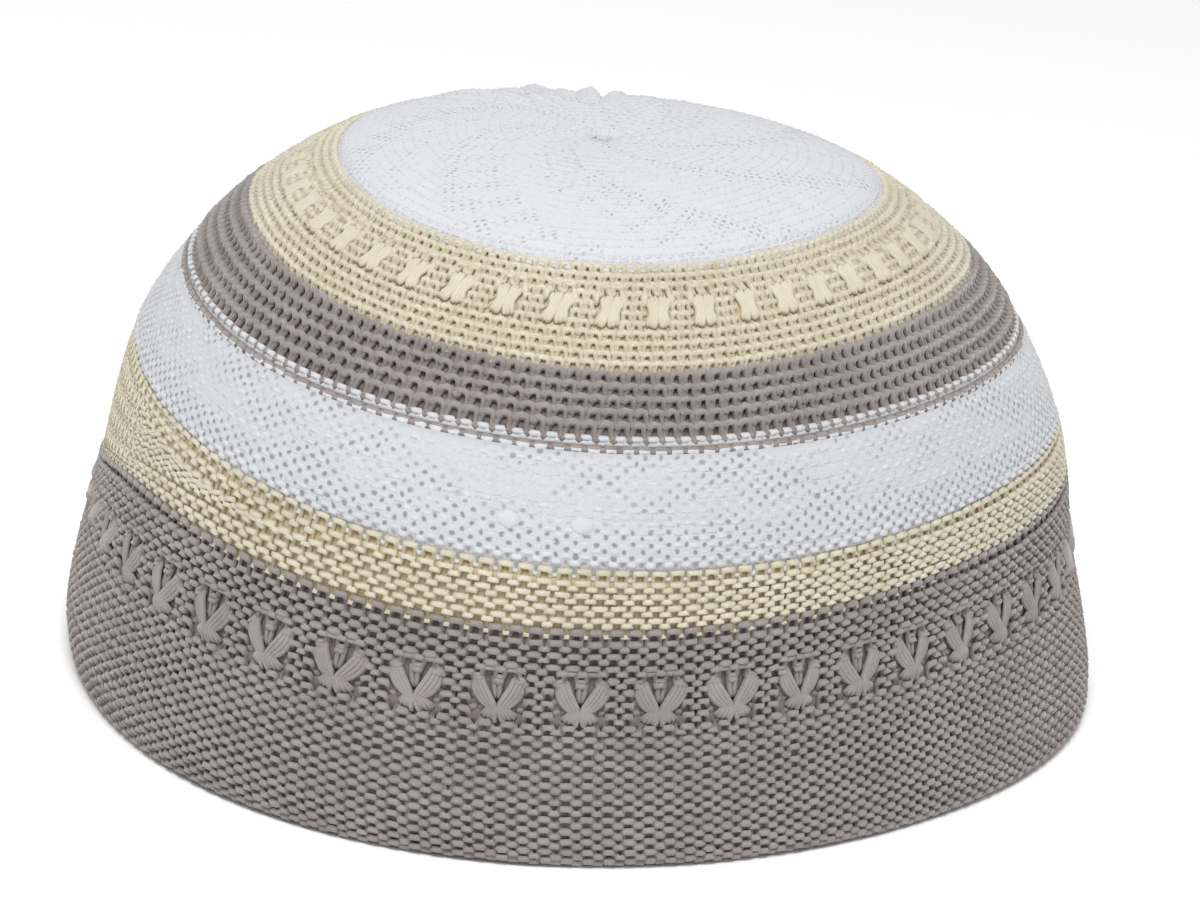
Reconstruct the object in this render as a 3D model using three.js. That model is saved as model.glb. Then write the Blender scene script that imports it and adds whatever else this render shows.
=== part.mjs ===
// A knitted prayer cap (kufi): a soft dome of coloured bands round the head's hollow, standing on
// its doubled hem. It is built from the hem up as closed shells of knitted wall, one for each band,
// then the gathered crown and the loop of yarn that draws it shut.
//
// Millimetres, +Z up. The origin is the middle of the hem's underside, -Y is the front, and the
// short rows, which widen the lower cream band, are on the -X side.

import * as THREE from "three";

// ---- driving dimensions -------------------------------------------------------------------

const WALL = 2.2;               // thickness of the single knit
const HEM_WALL = 3.2;           // thickness of the hem, two layers of knit
const GAP = 0.3;                // clearance between neighbouring bands
const MOTIFS = 44;              // butterfly stitches in each round
const COLUMNS_PER_MOTIF = 4;    // facets across one butterfly and its plain neighbour
const PLAIN_COLUMNS = 66;       // facets round a plain band and the crown
const MOTIF_LIFT = 1.1;         // how far a butterfly stands out of the wall
const CROWN_HOLE = 2.6;         // radius of the hole that the last course leaves
const PUCKERS = 11;             // gathers round the crown's middle
const PUCKER_LIFT = 0.8;        // half the height of one gather
const PUCKER_RADIUS = 26;       // where the gathers stand highest
const TIE_RADIUS = 1.6;         // centre line of the loop that draws the crown shut
const TIE_THICKNESS = 0.5;      // radius of that loop's yarn

// The dome's shape as level rings, from the hem's underside to the middle of the crown. These
// values weren't chosen by hand: they come from a least-squares fit made by a scratch program, with
// radii and heights times 0.99. The two lowest rings and the three innermost were changed after it.
// radius, height: the ring's size and place. leanX, leanY: how far its +X and +Y sides stand
// above its middle. saddle: how far its two sides stand above its middle, and its front and back
// below. shift: how far the ring is pushed towards +X.
const RINGS = [
  { radius: 96.2, height: 0.0, leanX: 0.0, leanY: 0.0, saddle: 0.0, shift: 2.4 },     // hem, underside
  { radius: 96.4, height: 7.0, leanX: 0.0, leanY: 0.0, saddle: 0.8, shift: 1.4 },     // hem, widest
  { radius: 92.5, height: 24.4, leanX: 0.2, leanY: -0.2, saddle: 1.7, shift: 0.5 },   // hem, top fold
  { radius: 91.6, height: 27.6, leanX: 0.5, leanY: -0.4, saddle: 1.9, shift: 0.2 },   // butterflies' knots
  { radius: 89.0, height: 40.9, leanX: 0.0, leanY: -0.5, saddle: 3.0, shift: 0.4 },   // grey to cream
  { radius: 86.3, height: 51.6, leanX: -2.5, leanY: -0.3, saddle: 3.8, shift: 0.7 },  // cream to white
  { radius: 77.8, height: 68.6, leanX: -1.4, leanY: -0.5, saddle: 2.3, shift: 0.5 },  // the grey line
  { radius: 67.5, height: 79.9, leanX: -1.2, leanY: 0.2, saddle: 3.0, shift: 0.7 },   // grey to cream
  { radius: 50.7, height: 92.6, leanX: -0.2, leanY: 1.2, saddle: 1.4, shift: -0.3 },  // cream to crown
  { radius: 33.7, height: 98.2, leanX: 0.3, leanY: 1.5, saddle: 0.9, shift: -0.7 },
  { radius: 16.8, height: 99.7, leanX: 0.0, leanY: 1.2, saddle: 0.6, shift: -1.3 },
  { radius: 0.0, height: 98.6, leanX: 0.0, leanY: 0.0, saddle: 0.0, shift: -2.1 },    // middle of the crown
];
const FLAT_RADIUS = 40;         // inside this radius the leans and saddles fade out

// The plan of every ring, as swells of the circle that are full at the front and fade out to the
// back: lobes round the cap, how far they stand out as a part of the radius, and the angle of the
// first one in degrees. Together they give the front its soft point. They are that fit's values too.
const PLAN_SWELLS = [
  { lobes: 2, height: 0.052, angle: 60.8 },
  { lobes: 3, height: 0.015, angle: 5.3 },
];

// Where the short rows on the -X side push the top of the lower grey yarn down: the ring that drops,
// the middle of the dip and its half-width in radians, its depth, and how far it spreads outwards
// for each millimetre of depth.
const WEDGE = { ring: 4, angle: Math.PI, halfWidth: 0.38, drop: 10.5, spread: 0.19 };

// The bands as levels: level 2.5 lies halfway between rings 2 and 3.
const LEVELS = {
  underside: 0,
  hemTop: 2,
  greyTop: 4,
  creamTop: 5,
  whiteTop: 5.94,
  greyLineTop: 6.07,
  whiteLineTop: 6.2,
  upperGreyTop: 7,
  upperCreamTop: 8,
};

const TAUPE = new THREE.Color("#8f8683");
const CREAM = new THREE.Color("#ded5b6");
const WHITE = new THREE.Color("#e9ebee");

// ---- the dome's surface -------------------------------------------------------------------

function planSwell(angle) {
  const front = (1 - Math.sin(angle)) / 2;
  return PLAN_SWELLS.reduce((scale, swell) => {
    const turn = angle - THREE.MathUtils.degToRad(swell.angle);
    return scale + front * swell.height * Math.cos(swell.lobes * turn);
  }, 1);
}

function wedgeDrop(index, angle) {
  if (index !== WEDGE.ring) return 0;
  const turn = Math.atan2(Math.sin(angle - WEDGE.angle), Math.cos(angle - WEDGE.angle));
  return WEDGE.drop * Math.exp(-((turn / WEDGE.halfWidth) ** 2));
}

function ringPoint(index, angle) {
  const ring = RINGS[index];
  const drop = wedgeDrop(index, angle);
  const fade = Math.min(1, ring.radius / FLAT_RADIUS);
  const radius = ring.radius * planSwell(angle) + drop * WEDGE.spread;
  const bend = ring.leanX * Math.cos(angle) + ring.leanY * Math.sin(angle) + ring.saddle * Math.cos(2 * angle);
  return new THREE.Vector3(
    radius * Math.cos(angle) + ring.shift,
    radius * Math.sin(angle),
    ring.height + bend * fade - drop,
  );
}

function profileAt(angle) {
  const points = RINGS.map((ring, index) => ringPoint(index, angle));
  return new THREE.CatmullRomCurve3(points, false, "centripetal");
}

// A point on the outer surface, moved by `slide` up the profile and by `lift` out of the wall.
function surfacePoint(profile, angle, level, slide, lift) {
  const at = level / (RINGS.length - 1);
  const along = profile.getTangent(at);
  const hoop = new THREE.Vector3(-Math.sin(angle), Math.cos(angle), 0);
  const outward = hoop.clone().cross(along).normalize();
  return profile.getPoint(at).addScaledVector(along, slide).addScaledVector(outward, lift);
}

// ---- one closed shell between two levels ----------------------------------------------------

// `outerLevels` and `innerLevels` run upwards between the same two ends. `relief(level, column)`
// gives how far the outer face stands out at that place.
function shellGeometry({ outerLevels, innerLevels, columns, wall, relief = () => 0 }) {
  const positions = [];
  const indices = [];
  const bottom = outerLevels[0];
  const top = outerLevels[outerLevels.length - 1];
  const slideAt = (level) => {
    if (level === bottom && bottom > LEVELS.underside) return GAP / 2;
    return level === top ? -GAP / 2 : 0;
  };
  const angles = Array.from({ length: columns }, (_, column) => (2 * Math.PI * column) / columns);
  const profiles = angles.map(profileAt);
  const addRow = (level, liftAt) => {
    const first = positions.length / 3;
    angles.forEach((angle, column) => {
      const point = surfacePoint(profiles[column], angle, level, slideAt(level), liftAt(column));
      if (level === LEVELS.underside) point.z = 0;
      positions.push(point.x, point.y, point.z);
    });
    return first;
  };
  const bridge = (lower, upper) => {
    for (let column = 0; column < columns; column += 1) {
      const next = (column + 1) % columns;
      indices.push(lower + column, lower + next, upper + next);
      indices.push(lower + column, upper + next, upper + column);
    }
  };
  const outerRows = outerLevels.map((level) => addRow(level, (column) => relief(level, column)));
  const innerRows = innerLevels.map((level) => addRow(level, () => -wall)).reverse();
  const loop = [...outerRows, ...innerRows];
  loop.forEach((row, index) => bridge(row, loop[(index + 1) % loop.length]));

  const geometry = new THREE.BufferGeometry();
  geometry.setAttribute("position", new THREE.Float32BufferAttribute(positions, 3));
  geometry.setIndex(indices);
  geometry.computeVertexNormals();
  return geometry;
}

function evenLevels(low, high, rows) {
  return Array.from({ length: rows + 1 }, (_, row) => low + ((high - low) * row) / rows);
}

// ---- relief of the fancy stitches -----------------------------------------------------------

// A butterfly: a knot with two wings spread above it and two short legs below, one facet column
// each for the knot, both wings and the plain stitches between two butterflies.
function butterflyRelief({ legs, knot, wings }) {
  return (level, column) => {
    const place = column % COLUMNS_PER_MOTIF;
    const onKnot = place === 0;
    const onWing = place === 1 || place === COLUMNS_PER_MOTIF - 1;
    if (level === knot) return onKnot ? MOTIF_LIFT : 0;
    if (level === wings) return onKnot || onWing ? MOTIF_LIFT : 0;
    if (level === legs) return onWing ? MOTIF_LIFT / 2 : 0;
    return 0;
  };
}

// The gathers round the crown's middle: low ridges that fade towards its edge and its hole.
function puckerRelief(level, column) {
  const angle = (2 * Math.PI * column) / PLAIN_COLUMNS;
  const radius = RINGS[Math.floor(level)].radius * (1 - (level % 1)) +
    (RINGS[Math.ceil(level)].radius * (level % 1));
  const fade = Math.exp(-(((radius - PUCKER_RADIUS) / (PUCKER_RADIUS / 2)) ** 2));
  return PUCKER_LIFT * fade * Math.cos(PUCKERS * angle);
}

// ---- the pieces -----------------------------------------------------------------------------

function knitted(name, color, geometry) {
  const material = new THREE.MeshStandardMaterial({ color, roughness: 0.95, metalness: 0 });
  const mesh = new THREE.Mesh(geometry, material);
  mesh.name = name;
  return mesh;
}

function plainBand(name, color, low, high, outerRows, innerRows) {
  return knitted(name, color, shellGeometry({
    outerLevels: evenLevels(low, high, outerRows),
    innerLevels: evenLevels(low, high, innerRows),
    columns: PLAIN_COLUMNS,
    wall: WALL,
  }));
}

function hem() {
  return knitted("hem", TAUPE, shellGeometry({
    outerLevels: evenLevels(LEVELS.underside, LEVELS.hemTop, 5),
    innerLevels: evenLevels(LEVELS.underside, LEVELS.hemTop, 3),
    columns: PLAIN_COLUMNS,
    wall: HEM_WALL,
  }));
}

function butterflyBand() {
  const rows = { legs: 2.4, knot: 2.9, wings: 3.2 };
  return knitted("butterfly_band", TAUPE, shellGeometry({
    outerLevels: [LEVELS.hemTop, rows.legs, rows.knot, rows.wings, LEVELS.greyTop],
    innerLevels: [LEVELS.hemTop, LEVELS.greyTop],
    columns: MOTIFS * COLUMNS_PER_MOTIF,
    wall: WALL,
    relief: butterflyRelief(rows),
  }));
}

function upperCreamBand() {
  const rows = { legs: 7.3, knot: 7.42, wings: 7.56 };
  return knitted("upper_cream_band", CREAM, shellGeometry({
    outerLevels: [LEVELS.upperGreyTop, rows.legs, rows.knot, rows.wings, LEVELS.upperCreamTop],
    innerLevels: [LEVELS.upperGreyTop, LEVELS.upperCreamTop],
    columns: MOTIFS * COLUMNS_PER_MOTIF,
    wall: WALL,
    relief: butterflyRelief(rows),
  }));
}

function crown() {
  const last = RINGS.length - 2;
  const holeLevel = last + 1 - CROWN_HOLE / RINGS[last].radius;
  return knitted("crown", WHITE, shellGeometry({
    outerLevels: evenLevels(LEVELS.upperCreamTop, holeLevel, 7),
    innerLevels: evenLevels(LEVELS.upperCreamTop, holeLevel, 3),
    columns: PLAIN_COLUMNS,
    wall: WALL,
    relief: puckerRelief,
  }));
}

// The loop of yarn through the crown's last course, lying in the hole.
function crownTie() {
  const geometry = new THREE.TorusGeometry(TIE_RADIUS, TIE_THICKNESS, 8, 16);
  const mesh = knitted("crown_tie", WHITE, geometry);
  const pole = RINGS[RINGS.length - 1];
  mesh.position.set(pole.shift, 0, pole.height - WALL / 2);
  return mesh;
}

const cap = new THREE.Group();
cap.name = "prayer_cap";
cap.add(
  hem(),
  butterflyBand(),
  plainBand("lower_cream_band", CREAM, LEVELS.greyTop, LEVELS.creamTop, 2, 1),
  plainBand("white_side_band", WHITE, LEVELS.creamTop, LEVELS.whiteTop, 3, 2),
  plainBand("grey_line", TAUPE, LEVELS.whiteTop, LEVELS.greyLineTop, 1, 1),
  plainBand("white_line", WHITE, LEVELS.greyLineTop, LEVELS.whiteLineTop, 1, 1),
  plainBand("upper_grey_band", TAUPE, LEVELS.whiteLineTop, LEVELS.upperGreyTop, 3, 1),
  upperCreamBand(),
  crown(),
  crownTie(),
);

// The middle of the underside is the origin.
const middle = new THREE.Box3().setFromObject(cap).getCenter(new THREE.Vector3());
cap.position.set(-middle.x, -middle.y, 0);

export default cap;
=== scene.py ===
"""A knitted prayer cap (kufi), dressed round its CAD frame.

The cap is one round knit, worn purl side out: a doubled hem in taupe, a taupe band of butterfly
stitches, a cream band with a wedge of short rows, a white band, a grey and a white line, an open
grey band, a cream band of butterflies and a white crown that is gathered shut. Every course is laid
as a real strand of yarn on the dome's surface, over a thin felted ground that closes the holes.

Metres, +Z up, in the frame's own axes; the front faces -Y. Sizes of the knit are in millimetres.
"""

import logging
import math
from dataclasses import dataclass, field
from enum import Enum

import bpy
import mathutils
import numpy as np
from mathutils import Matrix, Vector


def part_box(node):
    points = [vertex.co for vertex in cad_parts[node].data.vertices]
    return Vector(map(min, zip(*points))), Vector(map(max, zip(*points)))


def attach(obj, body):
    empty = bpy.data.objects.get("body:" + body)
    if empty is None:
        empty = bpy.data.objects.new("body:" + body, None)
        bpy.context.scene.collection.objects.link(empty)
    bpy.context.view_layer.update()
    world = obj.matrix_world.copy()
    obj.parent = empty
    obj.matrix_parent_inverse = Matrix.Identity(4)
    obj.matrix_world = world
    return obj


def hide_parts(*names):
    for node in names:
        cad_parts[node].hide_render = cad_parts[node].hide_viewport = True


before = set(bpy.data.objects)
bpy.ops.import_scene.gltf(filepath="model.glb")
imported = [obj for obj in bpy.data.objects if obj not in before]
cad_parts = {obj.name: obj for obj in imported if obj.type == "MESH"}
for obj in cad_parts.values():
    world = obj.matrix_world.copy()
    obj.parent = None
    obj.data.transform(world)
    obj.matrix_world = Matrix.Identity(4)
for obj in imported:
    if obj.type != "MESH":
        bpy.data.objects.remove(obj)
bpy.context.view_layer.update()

log = logging.getLogger("prayer_cap")

MM = 0.001                      # a millimetre in metres
TURN = 2 * math.pi


# ---- colours and nodes ----------------------------------------------------------------------

def linear(colour: str) -> tuple[float, float, float, float]:
    """Turn an sRGB hex colour into linear RGBA.

    Args:
        colour: The colour as "#rrggbb".

    Returns:
        The linear red, green, blue and an alpha of 1.
    """
    parts = [int(colour[place:place + 2], 16) / 255 for place in (1, 3, 5)]
    values = [part / 12.92 if part <= 0.04045 else ((part + 0.055) / 1.055) ** 2.4 for part in parts]
    return (values[0], values[1], values[2], 1.0)


def add_node(
    tree: bpy.types.NodeTree,
    kind: str,
    settings: dict | None = None,
    inputs: dict | None = None,
) -> bpy.types.Node:
    """Add a node with its settings and links.

    Args:
        tree: The material's or world's node tree.
        kind: The node's type, such as "ShaderNodeBump".
        settings: The node's own properties by name.
        inputs: Values for its input sockets by name or number; an output socket is linked.

    Returns:
        The new node.
    """
    node = tree.nodes.new(kind)
    for name, value in (settings or {}).items():
        setattr(node, name, value)
    for name, value in (inputs or {}).items():
        if isinstance(value, bpy.types.NodeSocket):
            tree.links.new(value, node.inputs[name])
        else:
            node.inputs[name].default_value = value
    return node


def smooth_step(low: float, high: float, value: np.ndarray) -> np.ndarray:
    """Rise smoothly from 0 at `low` to 1 at `high`.

    Args:
        low: Where the rise starts.
        high: Where the rise ends.
        value: The values to look up.

    Returns:
        The rise at each value.
    """
    part = np.clip((value - low) / (high - low), 0.0, 1.0)
    return part * part * (3 - 2 * part)


# ---- the dome -------------------------------------------------------------------------------

@dataclass(frozen=True)
class Ring:
    """One level ring of the dome, in millimetres."""

    radius: float
    height: float
    lean_x: float                   # how far its +X side stands above its middle
    lean_y: float                   # how far its +Y side does
    saddle: float                   # how far both sides stand up, and its front and back down
    shift: float                    # how far it is pushed towards +X


@dataclass(frozen=True)
class Swell:
    """A swell of the plan that is full at the front and fades out to the back."""

    lobes: int
    height: float                   # as a part of the radius
    degrees: float                  # where one of its lobes stands


@dataclass(frozen=True)
class Wedge:
    """Where the short rows push the top of the lower grey yarn down."""

    ring: int = 4                   # the ring that dips
    angle: float = math.pi          # where it dips most
    half_width: float = 0.38        # in radians
    drop: float = 10.5              # in millimetres
    spread: float = 0.19            # how far it stands out there, as a part of the dip

    def drop_at(self, angles: np.ndarray) -> np.ndarray:
        """Give the depth of the dip at each angle, in millimetres."""
        turn = np.arctan2(np.sin(angles - self.angle), np.cos(angles - self.angle))
        return self.drop * np.exp(-(turn / self.half_width) ** 2)


@dataclass(frozen=True)
class Puckers:
    """The small folds of the gathered crown, clear at the back and faint elsewhere."""

    count: int = 46
    height: float = 1.1             # in millimetres
    radius: float = 38.0            # of the ring where they are highest, in millimetres
    turn: float = 0.45              # how far the clear ones lie round from the back, in radians
    rest: float = 0.08              # what is left of them elsewhere
    span: tuple[float, float] = (0.78, 0.96)    # sine of the angle, where they begin and are clear
    sways: int = 3                  # how often their spacing changes round the cap
    sway: float = 2.0               # how far the folds move with it, in radians of a fold
    beats: int = 17                 # how often their height changes round the cap
    beat: float = 0.4               # half of how much it does, as a part of the height

    def lift(self, radius: np.ndarray, angles: np.ndarray) -> np.ndarray:
        """Give how far the folds stand out of the surface.

        Args:
            radius: Distances from the cap's middle, in millimetres.
            angles: Angles round the cap.

        Returns:
            The heights, in millimetres.
        """
        turn = angles - self.turn
        fade = np.exp(-((radius - self.radius) / (self.radius / 4)) ** 2)
        fade = fade * (self.rest + (1 - self.rest) * smooth_step(*self.span, np.sin(turn)))
        fold = np.cos(self.count * turn + self.sway * np.sin(self.sways * turn))
        return self.height * fade * fold * (1 - self.beat + self.beat * np.sin(self.beats * turn))


class Level(Enum):
    """The borders of the bands, as levels between the rings: 2.5 is halfway from ring 2 to 3."""

    UNDERSIDE = 0.0
    HEM_TOP = 2.0
    GREY_TOP = 4.0
    CREAM_TOP = 5.0
    WHITE_TOP = 5.97
    GREY_LINE_TOP = 6.06
    WHITE_LINE_TOP = 6.15
    UPPER_GREY_TOP = 7.0
    UPPER_CREAM_TOP = 8.0
    POLE = 11.0


@dataclass
class Dome:
    """The cap's outer surface, as a table of profiles by angle and distance up the profile.

    The rings and swells are those of the part's own source. They weren't chosen by hand: they come
    from a least-squares fit made by a scratch program, with radii and heights times 0.99. The two
    lowest rings and the three innermost were changed after it.
    """

    rings: tuple[Ring, ...] = (
        Ring(96.2, 0.0, 0.0, 0.0, 0.0, 2.4),
        Ring(96.4, 7.0, 0.0, 0.0, 0.8, 1.4),
        Ring(92.5, 24.4, 0.2, -0.2, 1.7, 0.5),
        Ring(91.6, 27.6, 0.5, -0.4, 1.9, 0.2),
        Ring(89.0, 40.9, 0.0, -0.5, 3.0, 0.4),
        Ring(86.3, 51.6, -2.5, -0.3, 3.8, 0.7),
        Ring(77.8, 68.6, -1.4, -0.5, 2.3, 0.5),
        Ring(67.5, 79.9, -1.2, 0.2, 3.0, 0.7),
        Ring(50.7, 92.6, -0.2, 1.2, 1.4, -0.3),
        Ring(33.7, 98.2, 0.3, 1.5, 0.9, -0.7),
        Ring(16.8, 99.7, 0.0, 1.2, 0.6, -1.3),
        Ring(0.0, 98.6, 0.0, 0.0, 0.0, -2.1),
    )
    swells: tuple[Swell, ...] = (Swell(2, 0.052, 60.8), Swell(3, 0.015, 5.3))
    wedge: Wedge = field(default_factory=Wedge)
    puckers: Puckers = field(default_factory=Puckers)
    flat_radius: float = 40.0       # inside this the rings lose their lean and saddle
    columns: int = 352              # profiles round the cap
    samples: int = 36               # profile samples from one ring to the next
    step: float = 0.25              # spacing of the table up the profile
    fold_radius: float = 1.6        # round fold at the hem's lower edge
    proud: float = 0.35             # how far yarn stands out of the surface
    inside: float = 9.0             # length of the table up the inside of the fold
    hem_height: float = 24.0        # about how far up the profile the hem goes

    def __post_init__(self) -> None:
        """Work out the tables."""
        self.angles = np.arange(self.columns) * TURN / self.columns
        points = self._ring_points(self.angles)
        profiles = self._profiles(points)
        steps = np.linalg.norm(np.diff(profiles, axis=1), axis=2)
        self.arcs = np.concatenate([np.zeros((self.columns, 1)), np.cumsum(steps, axis=1)], axis=1)
        self._fill_tables(profiles)
        self._centre()

    def _ring_points(self, angles: np.ndarray) -> np.ndarray:
        """Place every ring's point at each angle.

        Args:
            angles: Angles round the cap.

        Returns:
            Points by angle and ring, in millimetres.
        """
        front = (1 - np.sin(angles)) / 2
        swell = 1 + sum(
            front * one.height * np.cos(one.lobes * (angles - math.radians(one.degrees)))
            for one in self.swells
        )
        columns = []
        for index, ring in enumerate(self.rings):
            drop = self.wedge.drop_at(angles) if index == self.wedge.ring else 0 * angles
            fade = min(1.0, ring.radius / self.flat_radius)
            radius = ring.radius * swell + drop * self.wedge.spread
            bend = (
                ring.lean_x * np.cos(angles)
                + ring.lean_y * np.sin(angles)
                + ring.saddle * np.cos(2 * angles)
            )
            columns.append(np.stack([
                radius * np.cos(angles) + ring.shift,
                radius * np.sin(angles),
                ring.height + bend * fade - drop,
            ], axis=-1))
        return np.stack(columns, axis=1)

    def _profiles(self, points: np.ndarray) -> np.ndarray:
        """Run a centripetal Catmull-Rom curve up through the rings at each angle.

        Args:
            points: Ring points by angle and ring.

        Returns:
            The samples by angle and level.
        """
        first = 2 * points[:, :1] - points[:, 1:2]
        last = 2 * points[:, -1:] - points[:, -2:-1]
        padded = np.concatenate([first, points, last], axis=1)
        spans = np.sqrt(np.linalg.norm(np.diff(padded, axis=1), axis=2))[..., None]
        pieces = []
        weights = (np.arange(self.samples) / self.samples)[None, :, None]
        for index in range(len(self.rings) - 1):
            p0, p1, p2, p3 = (padded[:, index + shift] for shift in range(4))
            t0, t1, t2 = (spans[:, index + shift] for shift in range(3))
            leave = ((p1 - p0) / t0 - (p2 - p0) / (t0 + t1) + (p2 - p1) / t1) * t1
            reach = ((p2 - p1) / t1 - (p3 - p1) / (t1 + t2) + (p3 - p2) / t2) * t1
            square = -3 * p1 + 3 * p2 - 2 * leave - reach
            cube = 2 * p1 - 2 * p2 + leave + reach
            pieces.append(
                p1[:, None] + leave[:, None] * weights
                + square[:, None] * weights ** 2 + cube[:, None] * weights ** 3
            )
        return np.concatenate([*pieces, points[:, -1:]], axis=1)

    def _fill_tables(self, profiles: np.ndarray) -> None:
        """Resample the profiles evenly and lay the hem's lower fold before them.

        Args:
            profiles: Profile samples by angle and level.
        """
        self.start = -self.inside
        fold_top = self.fold_radius + self.proud
        count = int((self.arcs.max() + self.inside) / self.step) + 2
        places = self.start + np.arange(count) * self.step
        on_dome = np.maximum(places, 0.0)
        grid = np.stack([
            np.stack([np.interp(on_dome, arcs, values) for values in profile.T], -1)
            for arcs, profile in zip(self.arcs, profiles)
        ])
        hoop = np.stack([-np.sin(self.angles), np.cos(self.angles), 0 * self.angles], -1)[:, None]
        along = np.gradient(grid, axis=1)
        along[:, places < self.step] = along[:, np.argmax(places >= 2 * self.step)][:, None]
        outward = np.cross(np.broadcast_to(hoop, grid.shape), along)
        outward /= np.maximum(np.linalg.norm(outward, axis=2, keepdims=True), 1e-9)
        beyond = places[None, :] > self.arcs[:, -1:] - self.step
        outward[beyond] = (0.0, 0.0, 1.0)
        # The fold turns under at the foot and runs up again on the inside.
        foot = np.argmax(places >= fold_top)
        turn = np.clip((fold_top - places) / self.fold_radius, 0.0, math.pi)[None, :, None]
        rise = np.clip(fold_top - places - math.pi * self.fold_radius, 0.0, None)[None, :, None]
        level_out = outward[:, foot:foot + 1] * (1, 1, 0)
        level_out = level_out / np.linalg.norm(level_out, axis=2, keepdims=True)
        up = np.array([0.0, 0.0, 1.0])
        centre = grid[:, foot:foot + 1] - level_out * self.fold_radius
        folded_out = level_out * np.cos(turn) - up * np.sin(turn)
        folded = centre + folded_out * self.fold_radius + up * rise
        under = places < fold_top
        grid[:, under] = folded[:, under]
        outward[:, under] = folded_out[:, under]
        self.grid = grid
        self.outward = outward

    def _centre(self) -> None:
        """Move the table so that it lies over the CAD hem."""
        low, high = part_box("hem")
        widest = self.grid[:, : int((self.hem_height + self.inside) / self.step)]
        for axis in range(2):
            middle = (widest[..., axis].min() + widest[..., axis].max()) / 2
            self.grid[..., axis] += (low[axis] + high[axis]) / 2 / MM - middle

    def arc(self, angles: np.ndarray, level: float) -> np.ndarray:
        """Give the distance up the profile of a level at each angle.

        Args:
            angles: Angles round the cap.
            level: The level.

        Returns:
            The distances, in millimetres.
        """
        column = level * self.samples
        low = int(min(column, self.arcs.shape[1] - 2))
        part = column - low
        values = self.arcs[:, low] * (1 - part) + self.arcs[:, low + 1] * part
        return np.interp(angles % TURN, np.append(self.angles, TURN), np.append(values, values[0]))

    def place(self, angles: np.ndarray, arcs: np.ndarray, lift: np.ndarray | float) -> np.ndarray:
        """Place points on the dome.

        Args:
            angles: Angles round the cap.
            arcs: Distances up the profile, in millimetres; below 0 is inside the fold.
            lift: How far the points stand out of the surface, in millimetres.

        Returns:
            The points, in millimetres.
        """
        across = (angles % TURN) / TURN * self.columns
        left = np.floor(across).astype(int)
        side = (across - left)[..., None]
        left %= self.columns
        right = (left + 1) % self.columns
        rows = np.clip((arcs - self.start) / self.step, 0, self.grid.shape[1] - 1.001)
        low = np.floor(rows).astype(int)
        rise = (rows - low)[..., None]

        def look_up(table: np.ndarray) -> np.ndarray:
            """Read a table between its entries.

            Args:
                table: Vectors by column and row.

            Returns:
                The vectors at the points asked for.
            """
            lower = table[left, low] * (1 - side) + table[right, low] * side
            upper = table[left, low + 1] * (1 - side) + table[right, low + 1] * side
            return lower * (1 - rise) + upper * rise

        point = look_up(self.grid)
        folds = self.puckers.lift(np.hypot(point[..., 0], point[..., 1]), angles)
        return point + look_up(self.outward) * (np.asarray(lift) + folds)[..., None]


# ---- strands of yarn ------------------------------------------------------------------------

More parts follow.
